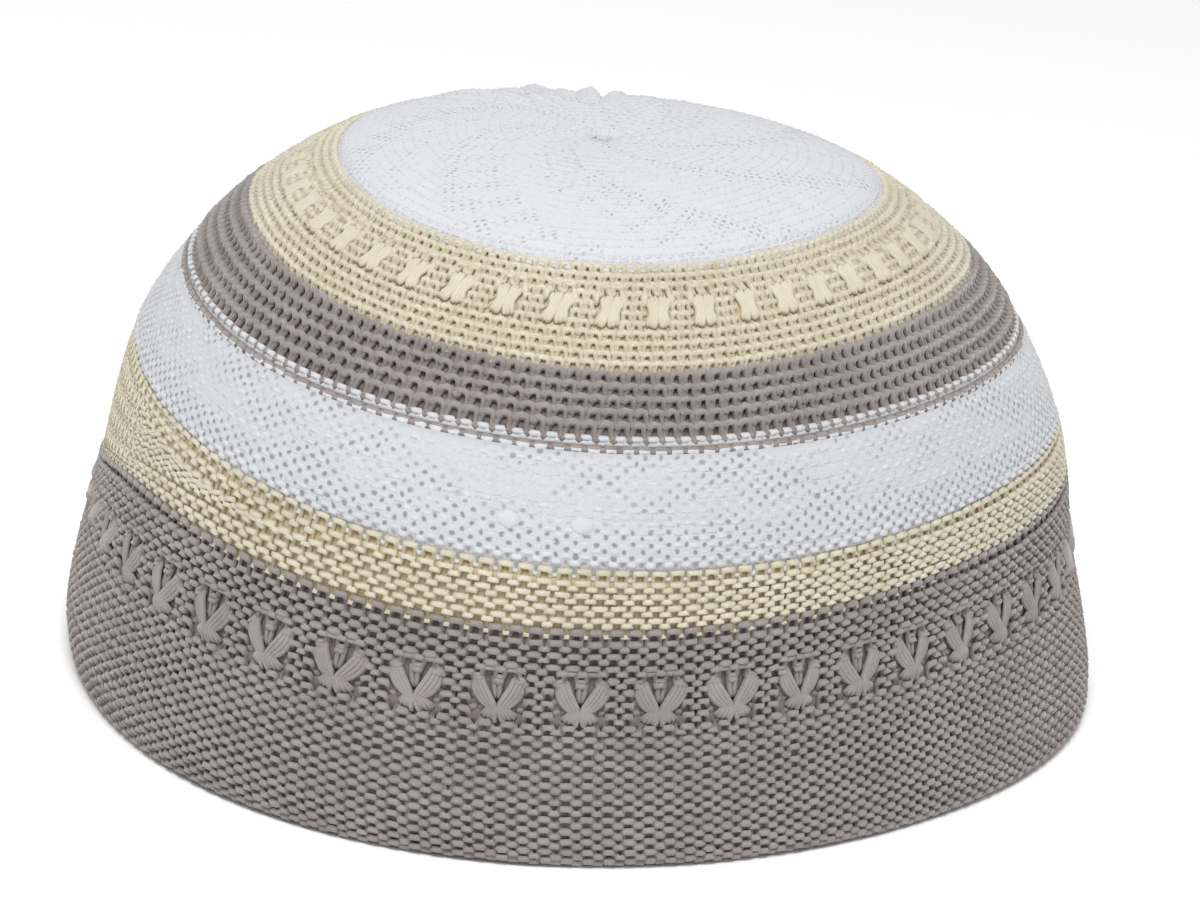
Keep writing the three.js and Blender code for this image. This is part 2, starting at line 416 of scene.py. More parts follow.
@dataclass
class Strands:
    """A set of yarn strands that become one mesh of thin closed tubes."""

    name: str
    splines: list = field(default_factory=list)
    # Each strand's painted shade, more where it lies further in
    painted_shade: list = field(default_factory=list)
    long_strand: int = 400          # points past which a strand gets strips of its own
    bake_rows: int = 11             # each long strand's bake strip is cut into this many
    per_row: int = 40               # short strands that share a strip
    margin: tuple[float, float] = (0.04, 0.06)  # bare edge of a strip, along and across
    tip: float = 0.0005             # an open strand's ends taper to this, and are merged to a point

    def add(self, points: np.ndarray, radii: np.ndarray, painted_shade: np.ndarray, closed: bool) -> None:
        """Lay one strand.

        Args:
            points: Its centre line, in millimetres.
            radii: Its radius at each point, in millimetres.
            painted_shade: How far in the shade of the fabric it lies at each point, from 0 to 1, painted
                into its colour.
            closed: Whether it joins its own start.
        """
        self.painted_shade.append(np.clip(painted_shade, 0.0, 1.0))
        radii = np.array(np.broadcast_to(radii, len(points)), dtype=float)
        if not closed:
            radii[[0, -1]] = self.tip
        self.splines.append((points, radii, closed))

    def build(self) -> bpy.types.Object:
        """Bevel the strands as a curve and turn it into a mesh.

        Returns:
            The mesh object, at the origin.
        """
        curve = bpy.data.curves.new(self.name, "CURVE")
        curve.dimensions = "3D"
        curve.bevel_mode = "ROUND"
        curve.bevel_depth = MM
        curve.bevel_resolution = 0
        curve.use_fill_caps = False
        for points, radii, closed in self.splines:
            spline = curve.splines.new("POLY")
            spline.points.add(len(points) - 1)
            places = np.ones((len(points), 4))
            places[:, :3] = points * MM
            spline.points.foreach_set("co", places.ravel())
            spline.points.foreach_set("radius", radii)
            spline.use_cyclic_u = closed
        strand = bpy.data.objects.new(self.name, curve)
        bpy.context.scene.collection.objects.link(strand)
        bpy.ops.object.select_all(action="DESELECT")
        strand.select_set(True)
        bpy.context.view_layer.objects.active = strand
        bpy.ops.object.convert(target="MESH")
        strand = bpy.context.view_layer.objects.active
        bpy.ops.object.shade_smooth()
        self._unwrap(strand.data)
        # The painted shade goes on the mesh, four corners to a point, for the yarn's colour to darken by
        shade = strand.data.attributes.new("painted_shade", "FLOAT", "POINT")
        shade.data.foreach_set("value", np.repeat(np.concatenate(self.painted_shade), 4).astype(np.float32))
        bpy.ops.object.mode_set(mode="EDIT")
        bpy.ops.mesh.select_all(action="SELECT")
        bpy.ops.mesh.remove_doubles(threshold=4 * self.tip * MM)
        bpy.ops.object.mode_set(mode="OBJECT")
        return strand

    def _unwrap(self, mesh: bpy.types.Mesh) -> None:
        """Give every strand its own strips of the bake map, along the yarn.

        Args:
            mesh: The tubes, ring by ring and strand by strand.
        """
        while mesh.uv_layers:
            mesh.uv_layers.remove(mesh.uv_layers[0])
        layer = mesh.uv_layers.new(name="OFBake")
        counts = np.array([len(points) for points, _, _ in self.splines])
        strand_of = np.repeat(np.arange(len(counts)), counts)
        ring_of = np.concatenate([np.arange(count) for count in counts])
        loops = np.zeros(len(mesh.loops), dtype=np.int64)
        mesh.loops.foreach_get("vertex_index", loops)
        starts = np.zeros(len(mesh.polygons), dtype=np.int64)
        mesh.polygons.foreach_get("loop_start", starts)
        corners = loops[starts[:, None] + np.arange(4)[None, :]]
        ring, side = corners // 4, corners % 4
        strand = strand_of[ring]
        count = counts[strand]
        # A face that closes a strand or a ring runs on past the last number, not back to 0.
        along = ring_of[ring].astype(float)
        wraps = (along.max(1) - along.min(1) > 1.5)[:, None] & (along < 0.5)
        along = np.where(wraps, count, along)
        across = side.astype(float)
        across = np.where((across.max(1) - across.min(1) > 2.5)[:, None] & (side == 0), 4.0, across)
        rows, per_row = self.bake_rows, self.per_row
        long = count[:, :1] > self.long_strand
        cut = np.where(long, count[:, :1] / rows, count[:, :1])
        row = np.floor((along.min(1, keepdims=True) + 0.01) / cut)
        part = np.clip((along - row * cut) / cut, 0, 1)
        # Long strands take `rows` strips each; short ones share strips end to end.
        is_long = counts > self.long_strand
        first = np.zeros(len(self.splines))
        first[is_long] = np.arange(is_long.sum()) * rows
        short_index = np.cumsum(~is_long) - 1
        base = is_long.sum() * rows
        total = base + math.ceil((~is_long).sum() / per_row)
        slot = short_index[strand]
        beside, above = self.margin
        short_u = (slot % per_row + beside + (1 - 2 * beside) * part) / per_row
        short_row = base + slot // per_row
        u = np.where(is_long[strand], part, short_u)
        v_row = np.where(is_long[strand], first[strand] + row, short_row)
        v = (v_row + above + (1 - 2 * above) * across / 4) / total
        uv = np.stack([u, v], -1).reshape(-1, 2).astype(np.float32)
        layer.data.foreach_set("uv", uv.ravel())


# ---- finishes ---------------------------------------------------------------------------------

@dataclass(frozen=True)
class Surface:
    """A matt finish of one colour, and what every finish's material has."""

    name: str
    colour: str

    def material(self) -> bpy.types.Material:
        """Build the finish's material.

        Returns:
            The material.
        """
        made = bpy.data.materials.new(self.name)
        made.use_nodes = True
        tree = made.node_tree
        tree.nodes.clear()
        shader = add_node(tree, "ShaderNodeBsdfPrincipled", None, self._look(tree))
        add_node(tree, "ShaderNodeOutputMaterial", None, {"Surface": shader.outputs[0]})
        return made

    def _look(self, tree: bpy.types.NodeTree) -> dict:
        """Give the shader's inputs; a plain finish needs no further nodes."""
        return {"Base Color": linear(self.colour), "Roughness": 0.9, "Specular IOR Level": 0.1}


@dataclass(frozen=True)
class CottonYarn(Surface):
    """Soft-spun cotton and acrylic yarn: matt, with a faint bloom of loose fibres.

    The fibres scatter light, so there is no gloss, only a pale sheen at a glancing angle.
    """

    shade: str                      # the same yarn where it is darker or has picked up dust
    deep: str                       # painted shade, where it runs behind its neighbours
    fibre_mm: float = 0.32          # fibre clumps, drawn coarser than the real 0.02 mm to show
    blotch_mm: float = 14.0         # slow drift of the dye
    stitch_mm: float = 2.6          # difference from stitch to stitch
    fuzz: float = 0.35

    def _look(self, tree: bpy.types.NodeTree) -> dict:
        """Draw the dye's drift, the difference between stitches, the fibres and the painted shade further
        in.

        Args:
            tree: The material's node tree.

        Returns:
            The shader's inputs.
        """
        place = add_node(tree, "ShaderNodeTexCoord").outputs["Object"]
        patterns = ((self.blotch_mm, 2.0, 0.5), (self.stitch_mm, 3.0, 0.65), (self.fibre_mm, 2.0, 0.6))
        drift, stitch, fibre = (
            add_node(tree, "ShaderNodeTexNoise", {"noise_dimensions": "3D"}, {
                "Vector": place, "Scale": 1 / (size * MM), "Detail": detail, "Roughness": rough,
            }).outputs["Fac"]
            for size, detail, rough in patterns
        )
        both = add_node(tree, "ShaderNodeMath", {"operation": "ADD"}, {0: drift, 1: stitch}).outputs[0]
        mixed = add_node(tree, "ShaderNodeMath", {"operation": "ADD"}, {0: both, 1: fibre}).outputs[0]
        share = add_node(tree, "ShaderNodeMapRange", {"clamp": True}, {
            "Value": mixed, "From Min": 1.2, "From Max": 1.8, "To Min": 0.0, "To Max": 1.0,
        }).outputs[0]
        colour = add_node(tree, "ShaderNodeMix", {"data_type": "RGBA"}, {
            "Factor": share, 6: linear(self.shade), 7: linear(self.colour),
        }).outputs[2]
        # Painted shade: the yarn turns to its deep colour where it lies further in
        painted_shade = add_node(tree, "ShaderNodeAttribute", {"attribute_name": "painted_shade"}).outputs["Fac"]
        colour = add_node(tree, "ShaderNodeMix", {"data_type": "RGBA"}, {
            "Factor": painted_shade, 6: colour, 7: linear(self.deep),
        }).outputs[2]
        bump = add_node(tree, "ShaderNodeBump", None, {
            "Strength": 0.35, "Distance": 0.12 * MM, "Height": fibre,
        }).outputs[0]
        return {
            "Base Color": colour, "Roughness": 0.92, "IOR": 1.5, "Specular IOR Level": 0.2,
            "Sheen Weight": self.fuzz, "Sheen Roughness": 0.5, "Normal": bump,
        }


@dataclass(frozen=True)
class FeltedGround(Surface):
    """The matted part of the knit: deep in the holes, as plain knit inside, or as felt outside.

    Matted fibre is a little rougher than the yarn and shines less.
    """

    shade: str                      # darker colour: at random between the fibres, and painted shade between the stitches
    ribs: bool = False              # the wales of the plain side, on the inner face
    pinhole: str = ""               # painted shade of the pinholes left in a felted face
    fibre_mm: float = 0.7           # fibre clumps, drawn coarser than the real 0.02 mm to show
    stray_mm: float = 2.4           # how soon the pinholes' unevenness changes

    def _look(self, tree: bpy.types.NodeTree) -> dict:
        """Draw the fibres, with the painted shade between the plain side's stitches or in the felt's
        pinholes.

        Args:
            tree: The material's node tree.

        Returns:
            The shader's inputs.
        """
        place = add_node(tree, "ShaderNodeTexCoord").outputs["Object"]
        fibre = add_node(tree, "ShaderNodeTexNoise", {"noise_dimensions": "3D"}, {
            "Vector": place, "Scale": 1 / (self.fibre_mm * MM), "Detail": 3.0, "Roughness": 0.6,
        }).outputs["Fac"]
        height, share = fibre, fibre
        if self.ribs:
            height = self._vee_height(tree)
            # Between the V stitches the colour darkens: painted shade in the grooves
            share = height
        colour = add_node(tree, "ShaderNodeMix", {"data_type": "RGBA"}, {
            "Factor": share, 6: linear(self.shade), 7: linear(self.colour),
        }).outputs[2]
        # The pinholes are painted as darker dots: painted shade inside the holes
        if self.pinhole:
            hole = self._pinholes(tree)
            colour = add_node(tree, "ShaderNodeMix", {"data_type": "RGBA"}, {
                "Factor": hole, 6: colour, 7: linear(self.pinhole),
            }).outputs[2]
            height = add_node(tree, "ShaderNodeMath", {"operation": "MULTIPLY_ADD"}, {
                0: hole, 1: -0.8, 2: fibre,
            }).outputs[0]
        bump = add_node(tree, "ShaderNodeBump", None, {
            "Strength": 0.8, "Distance": (0.6 if self.ribs else 0.25) * MM, "Height": height,
        }).outputs[0]
        return {
            "Base Color": colour, "Roughness": 0.95, "IOR": 1.5, "Specular IOR Level": 0.1,
            "Sheen Weight": 0.2, "Sheen Roughness": 0.5, "Normal": bump,
        }

    def _pinholes(self, tree: bpy.types.NodeTree) -> bpy.types.NodeSocket:
        """Draw the pinholes between the stitches, two to a stitch, as open as the felt is there, as dots of
        painted shade.

        Args:
            tree: The material's node tree.

        Returns:
            The holes, from 0 on the felt to 1 in an open hole.
        """
        place = add_node(tree, "ShaderNodeTexCoord").outputs["Object"]
        stray = add_node(tree, "ShaderNodeTexNoise", {"noise_dimensions": "3D"}, {
            "Vector": place, "Scale": 1 / (self.stray_mm * MM), "Detail": 1.0, "Roughness": 0.5,
        }).outputs["Color"]
        stray = add_node(tree, "ShaderNodeVectorMath", {"operation": "MULTIPLY_ADD"}, {
            0: stray, 1: (0.5, 0.5, 0.0), 2: (-0.25, -0.25, 0.0)}).outputs[0]
        wale = add_node(tree, "ShaderNodeUVMap", {"uv_map": "wales"}).outputs[0]
        wale = add_node(tree, "ShaderNodeVectorMath", {"operation": "ADD"}, {0: wale, 1: stray}).outputs[0]
        split = add_node(tree, "ShaderNodeSeparateXYZ", None, {0: wale})
        up = add_node(tree, "ShaderNodeMath", {"operation": "ADD"}, {
            0: split.outputs[1], 1: 0.75}).outputs[0]
        beside = add_node(tree, "ShaderNodeMath", {"operation": "PINGPONG"}, {
            0: split.outputs[0], 1: 0.5}).outputs[0]
        above = add_node(tree, "ShaderNodeMath", {"operation": "PINGPONG"}, {0: up, 1: 0.5}).outputs[0]
        here = add_node(tree, "ShaderNodeCombineXYZ", None, {0: beside, 1: above}).outputs[0]
        holes = []
        for centre in ((0.0, 0.0, 0.0), (0.5, 0.5, 0.0)):
            off = add_node(tree, "ShaderNodeVectorMath", {"operation": "SUBTRACT"}, {
                0: here, 1: centre}).outputs[0]
            oval = add_node(tree, "ShaderNodeVectorMath", {"operation": "MULTIPLY"}, {
                0: off, 1: (1.0, 0.75, 0.0)}).outputs[0]
            away = add_node(tree, "ShaderNodeVectorMath", {"operation": "LENGTH"}, {0: oval})
            holes.append(away.outputs[1])
        nearest = add_node(tree, "ShaderNodeMath", {"operation": "MINIMUM"}, {
            0: holes[0], 1: holes[1]}).outputs[0]
        shape = add_node(tree, "ShaderNodeMapRange", {"interpolation_type": "SMOOTHSTEP"}, {
            "Value": nearest, "From Min": 0.20, "From Max": 0.06, "To Min": 0.0, "To Max": 1.0,
        }).outputs[0]
        opened = add_node(tree, "ShaderNodeAttribute", {"attribute_name": "open"}).outputs["Fac"]
        return add_node(tree, "ShaderNodeMath", {"operation": "MULTIPLY"}, {0: shape, 1: opened}).outputs[0]

    def _vee_height(self, tree: bpy.types.NodeTree) -> bpy.types.NodeSocket:
        """Draw the columns of V stitches from the knit's own map, wales by courses.

        Args:
            tree: The material's node tree.

        Returns:
            The height, from 0 between stitches to 1 on a strand.
        """
        wale = add_node(tree, "ShaderNodeUVMap", {"uv_map": "wales"}).outputs[0]
        split = add_node(tree, "ShaderNodeSeparateXYZ", None, {0: wale})
        across = add_node(tree, "ShaderNodeMath", {"operation": "PINGPONG"}, {
            0: split.outputs[0], 1: 0.5}).outputs[0]
        slope = add_node(tree, "ShaderNodeMath", {"operation": "MULTIPLY_ADD"}, {
            0: across, 1: 1.5, 2: split.outputs[1]}).outputs[0]
        strand = add_node(tree, "ShaderNodeMath", {"operation": "PINGPONG"}, {
            0: slope, 1: 0.5}).outputs[0]
        row = add_node(tree, "ShaderNodeMapRange", {"interpolation_type": "SMOOTHSTEP"}, {
            "Value": strand, "From Min": 0.0, "From Max": 0.32}).outputs[0]
        side = add_node(tree, "ShaderNodeMapRange", {"interpolation_type": "SMOOTHSTEP"}, {
            "Value": across, "From Min": 0.0, "From Max": 0.1}).outputs[0]
        return add_node(tree, "ShaderNodeMath", {"operation": "MULTIPLY"}, {0: row, 1: side}).outputs[0]


class Finish(Enum):
    """The three yarns, and the ground that shows in each one's holes."""

    TAUPE = "taupe"
    CREAM = "cream"
    WHITE = "white"


YARNS = {
    # Each yarn's last colour is its painted shade, for where it lies behind its neighbours
    Finish.TAUPE: CottonYarn("taupe_cotton_yarn", "#9b938f", "#8b837f", "#756c68"),
    Finish.CREAM: CottonYarn("cream_cotton_yarn", "#d2ccb9", "#c6bfa9", "#ab9d7c"),
    Finish.WHITE: CottonYarn("white_cotton_yarn", "#cdcfd2", "#c4c6c9", "#bcbec1"),
}
# The ground seen through each band's holes: the taupe and cream ones are darker and warmer than their yarn,
# painted shade of the holes; the white is the yarn's own colour
HOLLOWS = {
    Finish.TAUPE: FeltedGround("taupe_ground_painted_shade", "#847b77", "#726965"),
    Finish.CREAM: FeltedGround("cream_ground_painted_shade", "#cdc0a0", "#bdae88"),
    Finish.WHITE: FeltedGround("white_felted_ground", "#cdcfd2", "#c0c2c5"),
}
DEEP_HOLLOWS = {
    Finish.TAUPE: FeltedGround("taupe_shaded_ground", "#8a807b", "#786e69"),
}
# Each felt's last colour is the painted shade of its pinholes
SIDE_FELT = FeltedGround("white_felted_side", "#c8cacc", "#bbbdc0", pinhole="#8d8c90")
CROWN_FELT = FeltedGround("white_felted_crown", "#d0d2d5", "#c6c8cb", pinhole="#9c9da1")
# The plain knit's second colour is the painted shade between its stitches
INNER_FACES = {
    Finish.TAUPE: FeltedGround("taupe_plain_knit", "#958d89", "#4f4743", ribs=True),
    Finish.CREAM: FeltedGround("cream_plain_knit", "#d8cfb2", "#8c7f5d", ribs=True),
    Finish.WHITE: FeltedGround("white_plain_knit", "#e6e8ea", "#a9abad", ribs=True),
}

# Matt paint: it takes soft shadows and mirrors nothing.
FLOOR = Surface("painted_studio_floor", "#fefefe")


def dress(piece: bpy.types.Object, node: str) -> None:
    """Let a finished piece stand for its CAD node: hide the node and hang the piece from the root.

    Args:
        piece: The piece.
        node: The CAD node that it replaces.
    """
    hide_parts(node)
    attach(piece, "root")


class Dye:
    """Makes each finish's material once."""

    def __init__(self) -> None:
        """Start with nothing made."""
        self.made: dict[str, bpy.types.Material] = {}

    def get(self, finish: Surface) -> bpy.types.Material:
        """Give the finish's material, made on first use."""
        if finish.name not in self.made:
            self.made[finish.name] = finish.material()
        return self.made[finish.name]


# ---- knitting -------------------------------------------------------------------------------

REPEAT = 4                      # wales from one butterfly to the next
WALES = 44 * REPEAT             # stitches round the cap
BOW_PHASE = 0.78                # how far the first butterfly stands from the side, in wales

# The waves whose sum opens the felt in patches: how many go round, rise a course, and start.
PATCH_WAVES = ((7, 0.5, 0.9), (16, 1.1, 0.3), (29, -1.6, 1.1), (47, 2.2, 2.0))


@dataclass(frozen=True)
class Stitch:
    """The shape of one purl stitch: two flat bars in front, joined by legs that run behind.

    Widths are in wales, heights in courses, depths and the yarn in millimetres.
    """

    tall: float = 1.48              # from the foot's bar to the head's
    head: float = 0.36              # width of the upper bar, between its bends
    foot: float = 0.22              # width of the lower bar
    depth: float = 0.45             # how far the bars stand out of the fabric's middle
    behind: float = 0.85            # how far the legs run behind it
    step: float = 0.24              # height in which a bar turns into a leg
    yarn: float = 0.60              # the yarn's radius
    leg: float = 0.6                # girth of the legs, as a part of the bars'
    splay: float = 0.3              # how far the legs spread before the head, as a part of the way
    sink: float = 0.74              # how deep the middle of the fabric lies under the surface
    under: float = 0.0              # how much deeper the lower bar lies than the upper one
    arch: float = 0.0               # how far the bars' middles bow out, in courses
    shade: float = 1.0              # how much painted shade darkens the legs
    sideways: float = 0.6           # unevenness across, as a part of that in height
    blotched: float = 2.0           # unevenness of the painted shade, in the same way

    def points(self) -> np.ndarray:
        """Give the stitch's points, from one end of a foot to the other end of the next.

        Returns:
            Rows of place across, height above the course's middle, lift and radius.
        """
        half, turned = self.tall / 2, self.tall / 2 - self.step
        foot, head = self.foot / 2, 0.5 - self.head / 2
        low, high = foot + self.splay * (head - foot), foot + 2 * self.splay * (head - foot)
        thin = self.yarn * self.leg
        rows = [
            (foot, -half, self.depth - self.under, self.yarn),
            (low, -turned, -self.behind, thin),
            (high, turned, -self.behind, thin),
            (head, half, self.depth, self.yarn),
            (1 - head, half, self.depth, self.yarn),
            (1 - high, turned, -self.behind, thin),
            (1 - low, -turned, -self.behind, thin),
            (1 - foot, -half, self.depth - self.under, self.yarn),
        ]
        if self.arch:
            rows.insert(4, (0.5, half + self.arch, self.depth, self.yarn))
            rows.append((1.0, -half - self.arch, self.depth - self.under, self.yarn))
        return np.array(rows)

    def course(self, wales: int, random: np.random.Generator, uneven: float) -> np.ndarray:
        """Repeat the stitch along a course, no two quite alike.

        Args:
            wales: Stitches in the course.
            random: Source of the unevenness.
            uneven: How uneven the stitches are, as a part of a wale.

        Returns:
            Columns of place across, height, lift and radius, the wave from foot to head, and the painted
            shade.
        """
        one = np.tile(self.points(), (wales, 1))
        wave = np.clip(one[:, 1] / (self.tall / 2), -1.0, 1.0)
        one[:, 0] += np.repeat(np.arange(wales), len(one) // wales)
        places = one[:, 0].copy()

        def drift() -> np.ndarray:
            """Draw one value a stitch and run smoothly from each to the next."""
            values = random.standard_normal(2 * wales)
            return uneven * np.interp(places, np.arange(2 * wales + 1) / 2, np.append(values, values[0]))

        one[:, 0] += self.sideways * drift()
        one[:, 1] += drift()
        one[:, 2] += drift()
        one[:, 3] *= 1 + drift()
        # Painted shade: darker the further a point lies behind the bars, with some random unevenness
        painted_shade = self.shade * (0.5 - 0.5 * one[:, 2] / self.depth) + self.blotched * drift()
        return np.column_stack([one, wave, painted_shade])


@dataclass(frozen=True)
class Float:
    """A row of a butterfly's chart: one point that a gathered strand passes through."""

    wale: float                     # from the butterfly's middle
    course: float                   # from its foot
    lift: float                     # out of the fabric, in millimetres
    radius: float                   # of the strand, in millimetres


Chart = dict[str, tuple[Float, ...]]


def butterfly_chart() -> Chart:
    """Chart the strands of one butterfly.

    Returns:
        The points of each strand, for one side of it.
    """
    return {
        "first_wing": (
            Float(0.90, 4.30, -0.30, 0.44),
            Float(0.80, 3.70, 0.45, 0.54),
            Float(0.56, 2.98, 0.80, 0.54),
            Float(0.30, 2.32, 0.98, 0.50),
            Float(0.12, 1.82, 1.05, 0.44),
            Float(0.14, 1.50, 1.00, 0.44),
            Float(0.26, 1.00, 0.76, 0.48),
            Float(0.36, 0.42, -0.35, 0.44),
        ),
        "second_wing": (
            Float(1.03, 4.25, -0.30, 0.44),
            Float(0.97, 3.60, 0.40, 0.56),
            Float(0.74, 2.88, 0.70, 0.56),
            Float(0.46, 2.20, 0.85, 0.52),
            Float(0.25, 1.74, 0.90, 0.44),
            Float(0.30, 1.42, 0.84, 0.44),
            Float(0.46, 0.98, 0.52, 0.48),
            Float(0.60, 0.50, -0.35, 0.44),
        ),
        "third_wing": (
            Float(1.15, 4.15, -0.30, 0.44),
            Float(1.13, 3.50, 0.32, 0.56),
            Float(0.94, 2.80, 0.56, 0.56),
            Float(0.64, 2.12, 0.70, 0.52),
            Float(0.38, 1.68, 0.74, 0.44),
            Float(0.46, 1.38, 0.60, 0.44),
            Float(0.66, 1.00, 0.25, 0.46),
            Float(0.82, 0.62, -0.40, 0.42),
        ),
        "outer_wing": (
            Float(1.26, 3.95, -0.30, 0.44),
            Float(1.27, 3.30, 0.20, 0.54),
            Float(1.12, 2.65, 0.38, 0.54),
            Float(0.82, 2.05, 0.50, 0.50),
            Float(0.50, 1.62, 0.52, 0.42),
            Float(0.60, 1.36, 0.32, 0.42),
            Float(0.80, 1.08, -0.05, 0.42),
            Float(0.92, 0.85, -0.40, 0.40),
        ),
        "centre": (
            Float(0.15, 4.40, -0.30, 0.44),
            Float(0.15, 3.70, 0.05, 0.48),
            Float(0.14, 3.00, 0.20, 0.46),
            Float(0.10, 2.50, 0.15, 0.42),
            Float(0.08, 2.15, -0.45, 0.38),
        ),
        "skirt": (
            Float(0.03, 1.80, 1.12, 0.40),
            Float(0.04, 1.45, 1.12, 0.44),
            Float(0.12, 0.95, 0.92, 0.46),
            Float(0.19, 0.55, 0.45, 0.44),
            Float(0.23, 0.25, -0.40, 0.40),
        ),
    }


def bow_chart() -> Chart:
    """Chart the strands of one flat bow, an hourglass of yarn drawn close.

    Returns:
        The points of each strand, for one side of it.
    """
    return {
        "inner": (
            Float(0.26, 4.25, -0.10, 0.50),
            Float(0.24, 3.55, 0.16, 0.62),
            Float(0.17, 2.70, 0.20, 0.64),
            Float(0.16, 2.10, 0.22, 0.64),
            Float(0.22, 1.30, 0.18, 0.60),
            Float(0.42, 0.45, -0.15, 0.50),
        ),
        "middle": (
            Float(0.55, 4.20, -0.10, 0.50),
            Float(0.52, 3.50, 0.15, 0.64),
            Float(0.42, 2.70, 0.19, 0.64),
            Float(0.38, 2.10, 0.20, 0.64),
            Float(0.46, 1.40, 0.16, 0.62),
            Float(0.64, 0.55, -0.15, 0.50),
        ),
        "outer": (
            Float(0.92, 4.05, -0.15, 0.50),
            Float(0.86, 3.40, 0.10, 0.62),
            Float(0.64, 2.70, 0.14, 0.62),
            Float(0.56, 2.10, 0.15, 0.62),
            Float(0.72, 1.50, 0.10, 0.60),
            Float(0.94, 0.70, -0.15, 0.50),
        ),
    }


def smooth_through(points: np.ndarray, steps: int) -> np.ndarray:
    """Run a Catmull-Rom curve through points.

    Args:
        points: The points, one a row, of any width.
        steps: Samples from one point to the next.

    Returns:
        The samples, the last point included.
    """
    padded = np.vstack([2 * points[0] - points[1], points, 2 * points[-1] - points[-2]])
    rows = []
    for index in range(1, len(padded) - 2):
        p0, p1, p2, p3 = padded[index - 1:index + 3]
        for part in np.arange(steps) / steps:
            rows.append(0.5 * (
                2 * p1 + (p2 - p0) * part + (2 * p0 - 5 * p1 + 4 * p2 - p3) * part ** 2
                + (3 * p1 - p0 - 3 * p2 + p3) * part ** 3
            ))
    rows.append(points[-1])
    return np.array(rows)


@dataclass(frozen=True)
class Butterflies:
    """Where a band's butterflies lie and how large they are."""

    foot: float                     # course on which they stand
    chart: Chart = field(default_factory=butterfly_chart)
    size: float = 1.0               # height, as a part of the chart's
    widths: tuple[float, float] = (0.94, 1.04)  # of its two sides, as parts of the chart's
    uneven: float = 0.05            # how unlike each other they are
    middle: float = 2.0             # course about which they tilt
    shade: float = 0.35             # how much painted shade the strands take at the fabric's middle
    darken: float = 0.8             # how much more painted shade a millimetre further in
    reach: float = 1.1              # half the width in which the courses are hidden, in wales
    blend: float = 0.2              # width over which they come back, in wales
    courses: int = 4                # courses that run hidden behind them
    crowded: float = 1.16           # where the wale beside the middle is pushed to
    drawn_up: float = 0.95          # how far the top hidden course is drawn up, in courses
    top_wave: float = 0.35          # how far its stitches still rise and fall, in courses
    top_lift: float = 0.1           # how far it stands out of the fabric's middle
    hidden_lift: float = -0.85      # how far the others do; they lie further in


